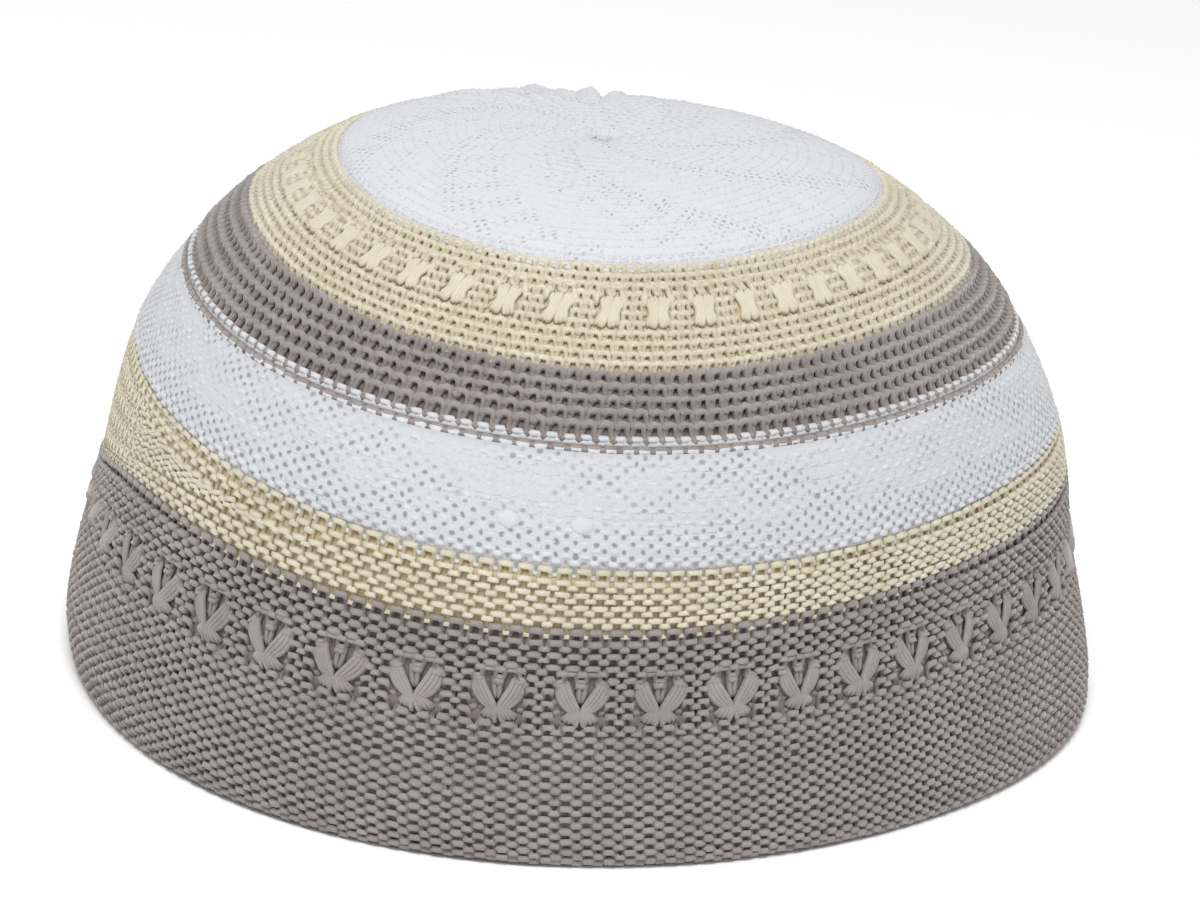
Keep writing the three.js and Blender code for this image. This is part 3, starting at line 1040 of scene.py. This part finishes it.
@dataclass
class Band:
    """A band of plain rounds between two levels, with or without butterflies."""

    node: str
    finish: Finish
    low: Level
    high: Level
    courses: int
    stitch: Stitch = field(default_factory=Stitch)
    butterflies: Butterflies | None = None
    seed: int = 1
    start: float = 0.0              # extra length below the low level, in millimetres
    ground: float = 1.45            # depth of the ground's outer face
    wall: float = 2.2
    uneven: float = 0.04            # unevenness of the stitches, as a part of a wale
    lean: float = 0.0               # how far each course is set off from the one below, in wales
    aside: float = 0.0              # how far the whole band is set off, in wales
    phase: float = BOW_PHASE        # where the ground's map of the wales starts, in wales
    deep: bool = False              # whether its holes look into the dark
    felt: FeltedGround | None = None    # the ground, where it closes round the yarn
    felt_open: float = 0.25         # how open the pinholes are between the open patches
    open_courses: int = 0           # the first courses, where they are all open
    edge: float = 0.0               # how much deeper the ground lies at its lower edge
    edge_courses: float = 1.6       # how far up it does
    tuck: float = 0.2               # how much deeper the first course's feet lie

    def build(self, dome: Dome, dye: Dye) -> list[bpy.types.Object]:
        """Knit the band.

        Args:
            dome: The surface to knit on.
            dye: The materials.

        Returns:
            The yarn and the ground behind it.
        """
        random = np.random.default_rng(self.seed)
        strands = Strands(f"{self.node}_yarn")
        for course in range(self.courses):
            self._lay_course(dome, strands, course, random)
        if self.butterflies:
            self._lay_butterflies(dome, strands, random)
        self._lay_extras(dome, strands, random)
        yarn = strands.build()
        yarn.data.materials.append(dye.get(YARNS[self.finish]))
        ground = self._ground(dome, dye)
        for piece in (yarn, ground):
            dress(piece, self.node)
        return [yarn, ground]

    def _edges(self, dome: Dome, angles: np.ndarray) -> tuple[np.ndarray, np.ndarray]:
        """Give how far up the profile the band's lower and upper edges lie, in millimetres."""
        return dome.arc(angles, self.low.value), dome.arc(angles, self.high.value)

    def arcs(self, dome: Dome, angles: np.ndarray, courses: np.ndarray) -> np.ndarray:
        """Turn course numbers into distances up the profile.

        Args:
            dome: The dome.
            angles: Angles round the cap.
            courses: Course numbers from the band's lower edge.

        Returns:
            The distances, in millimetres.
        """
        low, high = self._edges(dome, angles)
        low = low - self.start
        return low + (high - low) * courses / self.courses

    def _lay_course(self, dome: Dome, strands: Strands, course: int, random: np.random.Generator) -> None:
        """Lay one closed course of loops.

        Args:
            dome: The dome.
            strands: Where to add it.
            course: The course's number.
            random: Source of the small unevenness.
        """
        across, up, lift, radius, wave, painted_shade = self.stitch.course(WALES, random, self.uneven).T
        up = up + course + 0.5
        if self.butterflies and 0 <= course - self.butterflies.foot < self.butterflies.courses:
            across, up, lift = self._pass_behind(across, up, lift, course, wave)
        angles = (across + BOW_PHASE + self._set_off(course)) * TURN / WALES
        if course == 0:
            lift = lift - self.tuck * np.clip(-wave, 0.0, 1.0)
        points = dome.place(angles, self.course_arcs(dome, angles, course, up), lift - self.stitch.sink)
        strands.add(points, radius * self._thickness(dome, angles), painted_shade, True)

    def _thickness(self, dome: Dome, angles: np.ndarray) -> np.ndarray:
        """Give the yarn's thickness round the cap, as a part of the stitch's."""
        return np.ones(len(angles))

    def course_arcs(self, dome: Dome, angles: np.ndarray, course: int, up: np.ndarray) -> np.ndarray:
        """Turn places in a course into distances up the profile."""
        return self.arcs(dome, angles, up)

    def _set_off(self, up: float | np.ndarray) -> float | np.ndarray:
        """Give how far the lean moves a place sideways; the butterflies' middle stays.

        Args:
            up: Places up the band, in courses.

        Returns:
            The moves, in wales.
        """
        plan = self.butterflies
        still = plan.foot + plan.middle if plan else self.courses / 2
        return self.lean * (up - still) + self.aside

    def _openness(self, angles: np.ndarray, course: float) -> np.ndarray:
        """Give how open the felt's pinholes are along a course; they come and go in patches.

        Args:
            angles: Angles round the cap.
            course: The course's number.

        Returns:
            The openness, from 0 to 1.
        """
        if course <= self.open_courses:
            return np.full(len(angles), 1.0 if course > 0.5 or not self.edge else 0.0)
        patch = sum(np.sin(many * angles + rise * course + start) for many, rise, start in PATCH_WAVES)
        return np.clip(self.felt_open + patch / 2, 0.0, 1.0)

    def _lay_extras(self, dome: Dome, strands: Strands, random: np.random.Generator) -> None:
        """Lay what only this band has; a plain band has nothing more."""

    def _pass_behind(
        self, across: np.ndarray, up: np.ndarray, lift: np.ndarray, course: int, wave: np.ndarray,
    ) -> tuple[np.ndarray, np.ndarray, np.ndarray]:
        """Take the yarn straight behind each butterfly and crowd the two wales between.

        Args:
            across: Places round the course, in wales.
            up: Places up the band, in courses.
            lift: Height over the fabric's middle.
            course: The course's number.
            wave: Each point's place in its stitch, from -1 at a foot to 1 at a head.

        Returns:
            The three, changed.
        """
        plan = self.butterflies
        half = REPEAT / 2
        from_middle = (across + half) % REPEAT - half
        away = np.abs(from_middle)
        shown = smooth_step(plan.reach, plan.reach + plan.blend, away)
        squeeze = np.interp(away, [0.0, 1.0, half], [0.0, plan.crowded, half])
        across = across + (squeeze - away) * np.sign(from_middle)
        if course == plan.foot:     # the feet of this course still show
            shown = np.maximum(shown, wave < -0.5)
        top = course - plan.foot == plan.courses - 1
        behind = course + 0.5 + (plan.drawn_up + plan.top_wave * wave if top else 0.0)
        back = plan.top_lift if top else plan.hidden_lift
        return across, up * shown + behind * (1 - shown), lift * shown + back * (1 - shown)

    def _lay_butterflies(self, dome: Dome, strands: Strands, random: np.random.Generator) -> None:
        """Lay every butterfly's gathered strands.

        Args:
            dome: The dome.
            strands: Where to add them.
            random: Source of the small unevenness.
        """
        plan = self.butterflies
        curves = [
            smooth_through(np.array([(row.wale, row.course, row.lift, row.radius) for row in rows]), 2)
            for rows in plan.chart.values()
        ]
        for number in range(WALES // REPEAT):
            middle = number * REPEAT + plan.uneven * random.standard_normal()
            tilt = plan.uneven * random.standard_normal()
            grown = 1 + plan.uneven * random.standard_normal()
            for curve in curves:
                for side, wide in zip((-1, 1), plan.widths):
                    across = middle + side * curve[:, 0] * wide * grown + tilt * (curve[:, 1] - plan.middle)
                    up = plan.foot + curve[:, 1] * plan.size
                    angles = (across + BOW_PHASE + self._set_off(up)) * TURN / WALES
                    arcs = self.arcs(dome, angles, up)
                    points = dome.place(angles, arcs, curve[:, 2] - self.stitch.sink)
                    # Painted shade, more where the strand lies further in
                    painted_shade = plan.shade - plan.darken * curve[:, 2]
                    strands.add(points, curve[:, 3] * grown, painted_shade, False)

    def _ground_loops(self, dome: Dome, angles: np.ndarray) -> tuple[list, int]:
        """Plan the loops of the ground, up its outer face and down its inner one.

        Args:
            dome: The dome.
            angles: The columns' angles.

        Returns:
            Each loop's distances up the profile, lift and course, and how many are outside.
        """
        low, high = self._edges(dome, angles)
        parts = np.linspace(0.0, 1.0, max(2, self.courses) + 1)
        outer = [
            (low + (high - low) * part, self._ground_lift(dome, angles, course), course)
            for part, course in zip(parts, parts * self.courses)
        ]
        inner = [(arcs, -self.wall, course) for arcs, _, course in [*outer[:0:-2], outer[0]]]
        return outer + inner, len(outer)

    def _ground_lift(self, dome: Dome, angles: np.ndarray, course: float) -> float | np.ndarray:
        """Give how the ground's outer face lies in a course, over the cap's surface."""
        return -self.ground - self.edge * (1 - float(smooth_step(0.0, self.edge_courses, course)))

    def _face_slots(self, dome: Dome, angles: np.ndarray, count: int, outer: int) -> np.ndarray:
        """Give the material of each of the ground's faces: 0 outside and 1 inside."""
        return np.repeat(np.arange(count) >= outer - 1, len(angles)).astype(np.int32)

    def _wale_map(self, dome: Dome, courses: list[float]) -> tuple[list[int], int]:
        """Give each ground loop's wales in one gore, and how many gores there are."""
        return [WALES] * len(courses), 1

    def _ground(self, dome: Dome, dye: Dye) -> bpy.types.Object:
        """Build the closed ground behind the yarn.

        Args:
            dome: The dome.
            dye: The materials.

        Returns:
            The ground.
        """
        angles = np.arange(dome.columns) * TURN / dome.columns
        loops, outer = self._ground_loops(dome, angles)
        rings = [dome.place(angles, arcs, lift + np.zeros(len(angles))) for arcs, lift, _ in loops]
        courses = [course for _, _, course in loops]
        wales, gores = self._wale_map(dome, courses)
        shell = wound_shell(f"{self.node}_ground", rings, courses, wales, gores, self.phase)
        if self.felt:
            opened = np.concatenate([self._openness(angles, course) for course in courses])
            marks = shell.data.attributes.new("open", "FLOAT", "POINT")
            marks.data.foreach_set("value", opened.astype(np.float32))
        # Seen through the holes, the ground's outer face carries their painted shade
        outside = self.felt or (DEEP_HOLLOWS if self.deep else HOLLOWS)[self.finish]
        shell.data.materials.append(dye.get(outside))
        shell.data.materials.append(dye.get(INNER_FACES[self.finish]))
        slots = self._face_slots(dome, angles, len(loops), outer)
        shell.data.polygons.foreach_set("material_index", slots)
        return shell


def wound_shell(
    name: str, rings: list[np.ndarray], courses: list[float], wales: list[int], gores: int, phase: float,
) -> bpy.types.Object:
    """Join loops of points round the cap into one closed shell, the last to the first.

    Args:
        name: The piece's name.
        rings: The loops, each with the same number of points, in millimetres.
        courses: Each loop's course, for the map of the wales.
        wales: How many wales each loop has in one gore.
        gores: How many gores there are; the map starts anew in each.
        phase: Where the first stitch stands, in wales.

    Returns:
        The shell.
    """
    columns = len(rings[0])
    count = len(rings)
    loop = np.repeat(np.arange(count), columns)
    column = np.tile(np.arange(columns), count)
    after = (loop + 1) % count
    beside = (column + 1) % columns
    faces = np.stack([
        loop * columns + column, loop * columns + beside,
        after * columns + beside, after * columns + column,
    ], -1)
    mesh = bpy.data.meshes.new(name)
    mesh.from_pydata((np.concatenate(rings) * MM).tolist(), [], faces.tolist())
    mesh.update()
    mesh.polygons.foreach_set("use_smooth", np.ones(len(faces), dtype=bool))
    marks, wales = np.array(courses), np.array(wales)
    left = column % (columns // gores) * gores / columns
    right = left + gores / columns
    low, high = wales[loop], wales[after]
    uv = np.stack([
        left * low - phase, marks[loop], right * low - phase, marks[loop],
        right * high - phase, marks[after], left * high - phase, marks[after],
    ], -1)
    mesh.uv_layers.new(name="wales").data.foreach_set("uv", uv.astype(np.float32).ravel())
    shell = bpy.data.objects.new(name, mesh)
    bpy.context.scene.collection.objects.link(shell)
    return shell


@dataclass
class Hem(Band):
    """The doubled hem: the knit turns under at the foot and a little way up the inside."""

    inner_wall: float = 3.1         # depth of the inner layer's face
    loops: int = 12                 # loops of the ground up its outer face, and courses on its map
    fold_depth: float = 2.1         # depth of the ground inside the fold
    fold_arcs: tuple[float, float] = (4.6, 2.4)     # where its last two loops lie

    def _ground_loops(self, dome: Dome, angles: np.ndarray) -> tuple[list, int]:
        """Plan the loops of the ground between the hem's two layers.

        Args:
            dome: The dome.
            angles: The columns' angles.

        Returns:
            Each loop's distances up the profile, lift and course, and how many are outside.
        """
        high = dome.arc(angles, self.high.value)
        foot = dome.proud + dome.fold_radius * (1 - math.pi / 2)
        marks = np.linspace(0.0, 1.0, self.loops)
        outer, inner = (
            [(foot + (high - foot) * mark, -depth, mark * self.loops) for mark in face]
            for depth, face in ((self.ground, marks), (self.inner_wall, marks[:2:-2]))
        )
        for arc, course in zip(self.fold_arcs, (2.0, 1.0)):
            inner.append((0 * angles + arc, -self.fold_depth, course))
        return outer + inner, len(outer)


@dataclass
class ShortRowBand(Band):
    """A plain band that a wedge of short rows widens on one side.

    The wedge is knitted finer than the rest, and its yarn has nearly closed up.
    """

    height: float = 2.3             # height of the band's own courses at most, in millimetres
    widened: float = 1.5            # how much higher they would have to be where the wedge is full
    narrowed: float = 0.9           # how much lower they are in the wedge
    row_height: float = 1.2         # height of one short row
    below: int = 3                  # courses below the wedge; the rest run above it
    rows: int = 18
    thinned: float = 0.42           # how much thinner the yarn is in the wedge
    closed: float = 0.33            # depth of the ground's outer face there
    slant: float = -0.7             # how the short rows' bars lean, in courses a wale
    reach: int = 60                 # how far the longest short row may go to each side, in wales
    shortest: int = 4               # wales in the shortest one
    least: float = 0.45             # the room that a stitch of it needs, as a part of its height
    fuller: float = 0.25            # how much more of its girth is left than of its room
    tip_girth: float = 0.3          # the least that is left at its ends
    lighter: float = 0.4            # how far into the wedge its ground turns light, leaving the holes' painted shade

    def _room(self, dome: Dome, angles: np.ndarray) -> np.ndarray:
        """Give the band's height, in millimetres."""
        low, high = self._edges(dome, angles)
        return high - low

    def _in_wedge(self, dome: Dome, angles: np.ndarray) -> np.ndarray:
        """Give how far the wedge's finer knit has taken over, from 0 to 1."""
        height = self._room(dome, angles) / self.courses
        return smooth_step(self.height, self.widened * self.height, height)

    def _pitch(self, dome: Dome, angles: np.ndarray) -> np.ndarray:
        """Give the height of the band's own courses, in millimetres."""
        full = np.minimum(self._room(dome, angles) / self.courses, self.height)
        return full - self.narrowed * self._in_wedge(dome, angles)

    def _thickness(self, dome: Dome, angles: np.ndarray) -> np.ndarray:
        """Give the yarn's thickness, less in the wedge."""
        return 1 - self.thinned * self._in_wedge(dome, angles)

    def _ground_lift(self, dome: Dome, angles: np.ndarray, course: float) -> float | np.ndarray:
        """Give how the ground's outer face lies; it nearly closes in the wedge."""
        return -self.ground + (self.ground - self.closed) * self._in_wedge(dome, angles)

    def _face_slots(self, dome: Dome, angles: np.ndarray, count: int, outer: int) -> np.ndarray:
        """Give the material of each of the ground's faces; the closed wedge drops the holes' painted shade
        and is as light as the inside.
        """
        wedge = np.tile(self._in_wedge(dome, angles) > self.lighter, count)
        return np.maximum(super()._face_slots(dome, angles, count, outer), wedge).astype(np.int32)

    def course_arcs(self, dome: Dome, angles: np.ndarray, course: int, up: np.ndarray) -> np.ndarray:
        """Turn places in a course into distances; the upper courses follow the upper border.

        Args:
            dome: The dome.
            angles: Angles round the cap.
            course: The course's number.
            up: The places' heights, in courses.

        Returns:
            The distances up the profile, in millimetres.
        """
        pitch = self._pitch(dome, angles)
        low, high = self._edges(dome, angles)
        return low + pitch * up if course < self.below else high - pitch * (self.courses - up)

    def _lay_extras(self, dome: Dome, strands: Strands, random: np.random.Generator) -> None:
        """Lay the short rows, each as long as the room for it and thinner towards its ends.

        Args:
            dome: The dome.
            strands: Where to add them.
            random: Source of the small unevenness.
        """
        middle = round(dome.wedge.angle * WALES / TURN)

        def room(angles: np.ndarray, row: int) -> np.ndarray:
            """Give the height left for a row."""
            wedge = self._room(dome, angles) - self.courses * self._pitch(dome, angles)
            return np.clip(wedge - row * self.row_height, 0.0, self.row_height)

        wales = np.arange(-self.reach, self.reach + 1) + middle
        for row in range(self.rows):
            fits = room(wales * TURN / WALES, row) > self.least * self.row_height
            if fits.sum() < self.shortest:
                break
            first, last = wales[fits].min(), wales[fits].max()
            across, up, lift, radius, wave, painted_shade = self.stitch.course(last - first, random, self.uneven).T
            angles = (first + across + BOW_PHASE) * TURN / WALES
            up = up + self.slant * (across - np.round(2 * across) / 2) * np.abs(wave)
            local = room(angles, row)
            start = self._edges(dome, angles)[0] + self.below * self._pitch(dome, angles)
            arcs = start + row * self.row_height + (0.5 + up) * local
            points = dome.place(angles, arcs, lift - self.stitch.sink)
            girth = np.clip(self.fuller + local / self.row_height, self.tip_girth, 1.0)
            strands.add(points, radius * girth * self._thickness(dome, angles), painted_shade, False)


@dataclass
class Crown(Band):
    """The white crown: rounds that lose stitches towards the middle, drawn shut by a loop."""

    phase: float = 0.0
    gores: int = 11
    wale_width: float = 2.05        # in millimetres
    hole: float = 1.3               # radius of the hole left in the middle
    gore_wales: tuple[int, int] = (2, 16)   # the fewest and the most in one gore

    def _edges(self, dome: Dome, angles: np.ndarray) -> tuple[np.ndarray, np.ndarray]:
        """Give the two edges; the upper one is the hole's."""
        low, high = super()._edges(dome, angles)
        return low, high - self.hole

    def _gore_wales(self, dome: Dome, course: float) -> int:
        """Give the stitches in one gore of a course, as many as its length takes.

        Args:
            dome: The dome.
            course: The course's number.

        Returns:
            The number of stitches.
        """
        probe = dome.place(dome.angles, self.arcs(dome, dome.angles, np.full(dome.columns, course)), 0.0)
        length = np.linalg.norm(np.diff(probe, axis=0, append=probe[:1]), axis=1).sum()
        return int(np.clip(round(length / self.wale_width / self.gores), *self.gore_wales))

    def _wale_map(self, dome: Dome, courses: list[float]) -> tuple[list[int], int]:
        """Give each ground loop's wales in one gore, and how many gores there are."""
        return [self._gore_wales(dome, course) for course in courses], self.gores

    def _lay_course(self, dome: Dome, strands: Strands, course: int, random: np.random.Generator) -> None:
        """Lay one course of the gores' stitches.

        Args:
            dome: The dome.
            strands: Where to add it.
            course: The course's number.
            random: Source of the small unevenness.
        """
        wales = self.gores * self._gore_wales(dome, course + 0.5)
        across, up, lift, radius, _, painted_shade = self.stitch.course(wales, random, self.uneven).T
        angles = across * TURN / wales
        points = dome.place(angles, self.arcs(dome, angles, course + 0.5 + up), lift - self.stitch.sink)
        strands.add(points, radius, painted_shade, True)


@dataclass
class CrownTie:
    """The loop of yarn through the last course that draws the crown shut."""

    node: str = "crown_tie"
    finish: Finish = Finish.WHITE
    radius: float = 1.3             # of the loop's centre line
    yarn: float = 0.55              # the yarn's radius
    points: int = 36
    waves: int = 6                  # stitches that it passes through
    wave: float = 0.25              # how far it moves up and down there
    sunk: float = 0.05              # how far its middle lies under its node's

    def build(self, dye: Dye) -> list[bpy.types.Object]:
        """Lay the loop, wavy where it passes through the stitches.

        Args:
            dye: The materials.

        Returns:
            The loop.
        """
        low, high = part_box(self.node)
        middle = np.array([(low[axis] + high[axis]) / 2 / MM for axis in range(3)])
        turn = np.arange(self.points) * TURN / self.points
        rise = self.wave * np.cos(self.waves * turn) - self.sunk
        loop = np.stack([self.radius * np.cos(turn), self.radius * np.sin(turn), rise], -1)
        strands = Strands(f"{self.node}_yarn")
        strands.add(middle + loop, self.yarn * np.ones(self.points), np.zeros(self.points), True)
        tie = strands.build()
        tie.data.materials.append(dye.get(YARNS[self.finish]))
        dress(tie, self.node)
        return [tie]


@dataclass
class Knot:
    """A small felted knot on the outside, where an end of yarn was darned in."""

    angle: float                    # where it stands round the cap, in degrees
    level: float
    node: str = "white_side_band"
    finish: Finish = Finish.WHITE
    halves: tuple[float, float, float] = (2.0, 1.55, 0.9)   # half its width, height and thickness
    sunk: float = 0.35              # how deep its middle lies
    lumps: float = 0.07             # how uneven it is, as a part of its size

    def build(self, dome: Dome, dye: Dye) -> list[bpy.types.Object]:
        """Press a round lump flat on the knit.

        Args:
            dome: The surface it sits on.
            dye: The materials.

        Returns:
            The knot.
        """
        turn = math.radians(self.angle)
        angles = turn + np.array([0.0, 0.01, 0.0])
        arcs = dome.arc(angles, self.level) + np.array([0.0, 0.0, 1.0])
        middle, beside, above = dome.place(angles, arcs, -self.sunk)
        across = (beside - middle) / np.linalg.norm(beside - middle)
        up = (above - middle) / np.linalg.norm(above - middle)
        bpy.ops.object.select_all(action="DESELECT")
        bpy.ops.mesh.primitive_uv_sphere_add(segments=28, ring_count=14, radius=1.0, location=(0, 0, 0))
        knot = bpy.context.view_layer.objects.active
        knot.name = f"{self.node}_knot_{round(self.angle)}"
        places = np.zeros(len(knot.data.vertices) * 3, dtype=np.float32)
        knot.data.vertices.foreach_get("co", places)
        ball = places.reshape(-1, 3)
        lumpy = 1 + self.lumps * np.sin(5 * ball[:, :1] + self.angle) * np.cos(4 * ball[:, 1:2])
        flat = ball * lumpy * np.array(self.halves)
        placed = middle + flat @ np.stack([across, up, np.cross(across, up)])
        knot.data.vertices.foreach_set("co", (placed * MM).astype(np.float32).ravel())
        knot.data.polygons.foreach_set("use_smooth", np.ones(len(knot.data.polygons), dtype=bool))
        knot.data.update()
        knot.data.materials.append(dye.get(HOLLOWS[self.finish]))
        dress(knot, self.node)
        return [knot]


# ---- the studio -----------------------------------------------------------------------------

@dataclass
class Studio:
    """A pale floor, soft light and the camera, whose place, roll and aim come from the dome's fit."""

    target: tuple[float, float, float] = (-2.55, 1.86, 44.55)   # in millimetres
    distance: float = 742.5         # in millimetres
    elevation: float = 18.49        # in degrees
    roll: float = 5.18              # in degrees
    lens: float = 120.825           # focal length and sensor width, in millimetres
    sensor: float = 36.0
    aim_right: float = 0.381        # how far off the target the view is aimed, on the sensor
    aim_down: float = 1.026
    key_place: tuple[float, float, float] = (-0.08, -0.80, 1.40)    # in metres
    key_aim: tuple[float, float, float] = (0.0, 0.0, 0.05)
    key_width: float = 0.7
    key_power: float = 16.7         # in watts
    sky: float = 0.68

    def build(self) -> None:
        """Set the floor, the lights and the camera."""
        bpy.context.scene.view_settings.view_transform = "Standard"
        self._floor()
        self._lights()
        self._camera()

    def _floor(self) -> None:
        """Lay the floor."""
        bpy.ops.object.select_all(action="DESELECT")
        bpy.ops.mesh.primitive_plane_add(size=12.0, location=(0, 0, 0))
        floor = bpy.context.view_layer.objects.active
        floor.name = "floor"
        floor.data.materials.append(FLOOR.material())

    def _lights(self) -> None:
        """Light the set evenly, with a broad key from above the front."""
        world = bpy.data.worlds.new("studio")
        bpy.context.scene.world = world
        world.use_nodes = True
        world.node_tree.nodes.clear()
        sky = add_node(world.node_tree, "ShaderNodeBackground", None, {
            "Color": (1.0, 1.0, 1.0, 1.0), "Strength": self.sky,
        })
        add_node(world.node_tree, "ShaderNodeOutputWorld", None, {"Surface": sky.outputs[0]})
        key = bpy.data.lights.new("key", "AREA")
        key.shape = "DISK"
        key.size = self.key_width
        key.energy = self.key_power
        lamp = bpy.data.objects.new("key", key)
        lamp.location = self.key_place
        bpy.context.scene.collection.objects.link(lamp)
        aim = np.array(self.key_aim) - np.array(self.key_place)
        lamp.rotation_euler = mathutils.Vector(aim).to_track_quat("-Z", "Y").to_euler()

    def _camera(self) -> None:
        """Stand the camera where the cap is seen from a little above its front."""
        rise, turn = math.radians(self.elevation), math.radians(self.roll)
        back = np.array([0.0, -math.cos(rise), math.sin(rise)])
        up = np.array([0.0, math.sin(rise), math.cos(rise)])
        right = np.array([1.0, 0.0, 0.0])
        level = right * math.cos(turn) + up * math.sin(turn)
        plumb = up * math.cos(turn) - right * math.sin(turn)
        ahead = -back * self.lens + level * self.aim_right - plumb * self.aim_down
        ahead /= np.linalg.norm(ahead)
        side = np.cross(ahead, plumb)
        side /= np.linalg.norm(side)
        above = np.cross(side, ahead)
        data = bpy.data.cameras.new("camera")
        data.sensor_width = self.sensor
        data.lens = self.lens
        data.clip_start, data.clip_end = 0.05, 50.0
        camera = bpy.data.objects.new("camera", data)
        matrix = np.eye(4)
        matrix[:3, 0], matrix[:3, 1], matrix[:3, 2] = side, above, -ahead
        matrix[:3, 3] = (np.array(self.target) + back * self.distance) * MM
        camera.matrix_world = mathutils.Matrix(matrix.tolist())
        bpy.context.scene.collection.objects.link(camera)
        bpy.context.scene.camera = camera


# ---- the cap --------------------------------------------------------------------------------

def bands() -> list[Band]:
    """List the cap's bands, from the hem up.

    Returns:
        The bands.
    """
    tight = Stitch(head=0.32, foot=0.27, depth=0.30, behind=0.2, yarn=0.69, leg=0.85, sink=0.75)
    open_knit = Stitch(head=0.42, foot=0.30, depth=0.38, behind=0.3, step=0.3, yarn=0.64, leg=0.8)
    mesh = Stitch(head=0.52, foot=0.36, depth=0.22, behind=0.18, step=0.30, yarn=0.67, leg=0.72,
                  sink=0.76, shade=0.9)
    line = Stitch(tall=0.26, head=0.46, foot=0.30, depth=0.06, behind=0.0, step=0.05, yarn=0.62, leg=1.0,
                  sink=0.56)
    dashes = Stitch(tall=0.8, head=0.40, foot=0.20, depth=0.22, behind=0.5, step=0.3, yarn=0.60, leg=0.8,
                    sink=0.62, under=0.8, shade=0.2)
    eyelet = Stitch(tall=1.04, head=0.60, foot=0.16, depth=0.36, behind=0.20, step=0.32, yarn=0.70, leg=0.85,
                    sink=0.78, shade=0.8, arch=0.10)
    pinhole = Stitch(tall=1.04, head=0.56, foot=0.20, depth=0.20, behind=0.14, step=0.30, yarn=0.64, leg=0.9,
                     sink=0.70, shade=0.6, arch=0.08)
    felted = Stitch(head=0.44, foot=0.30, depth=0.14, behind=0.3, step=0.3, yarn=0.70, leg=0.8,
                    sink=0.70, shade=0.1)
    fine = Stitch(head=0.40, foot=0.28, depth=0.14, behind=0.3, step=0.3, yarn=0.60, leg=0.8,
                  sink=0.62, under=0.3, shade=0.1)
    return [
        Hem("hem", Finish.TAUPE, Level.UNDERSIDE, Level.HEM_TOP, 15, tight, seed=11, start=5.0, ground=1.0),
        Band("butterfly_band", Finish.TAUPE, Level.HEM_TOP, Level.GREY_TOP, 8, open_knit,
             Butterflies(foot=0.0), seed=12, ground=1.3, deep=True),
        ShortRowBand("lower_cream_band", Finish.CREAM, Level.GREY_TOP, Level.CREAM_TOP, 5, mesh, seed=13,
                     ground=1.1, tuck=0.75),
        Band("white_side_band", Finish.WHITE, Level.CREAM_TOP, Level.WHITE_TOP, 9, felted, seed=14,
             ground=0.12, uneven=0.05, felt=SIDE_FELT, felt_open=0.35, open_courses=3, edge=0.9,
             tuck=0.7),
        Band("grey_line", Finish.TAUPE, Level.WHITE_TOP, Level.GREY_LINE_TOP, 1, line, seed=15, ground=0.5),
        Band("white_line", Finish.WHITE, Level.GREY_LINE_TOP, Level.WHITE_LINE_TOP, 1, dashes, seed=16,
             aside=-0.45, ground=0.5),
        Band("upper_grey_band", Finish.TAUPE, Level.WHITE_LINE_TOP, Level.UPPER_GREY_TOP, 5, eyelet, seed=17,
             start=0.2, lean=0.15, ground=1.3, deep=True),
        Band("upper_cream_band", Finish.CREAM, Level.UPPER_GREY_TOP, Level.UPPER_CREAM_TOP, 11, pinhole,
             Butterflies(foot=4.0, chart=bow_chart(), size=0.96, shade=0.1, reach=0.88), seed=18, ground=1.0,
             lean=0.15, tuck=0.6),
        Crown("crown", Finish.WHITE, Level.UPPER_CREAM_TOP, Level.POLE, 24, fine, seed=19, ground=0.09,
              uneven=0.05, felt=CROWN_FELT, felt_open=-0.1, edge=0.8, tuck=0.5),
    ]


def report(pieces: list[bpy.types.Object]) -> None:
    """Log each piece with its number of faces."""
    for piece in pieces:
        log.info("%s: %d faces", piece.name, len(piece.data.polygons))


def main() -> None:
    """Build the studio and the cap."""
    logging.basicConfig(level=logging.INFO, format="%(message)s")
    Studio().build()
    dome = Dome()
    dye = Dye()
    for band in bands():
        report(band.build(dome, dye))
    report(CrownTie().build(dye))
    for knot in (Knot(262.0, 5.39), Knot(270.0, 5.40)):
        report(knot.build(dome, dye))


if __name__ == "__main__":
    main()
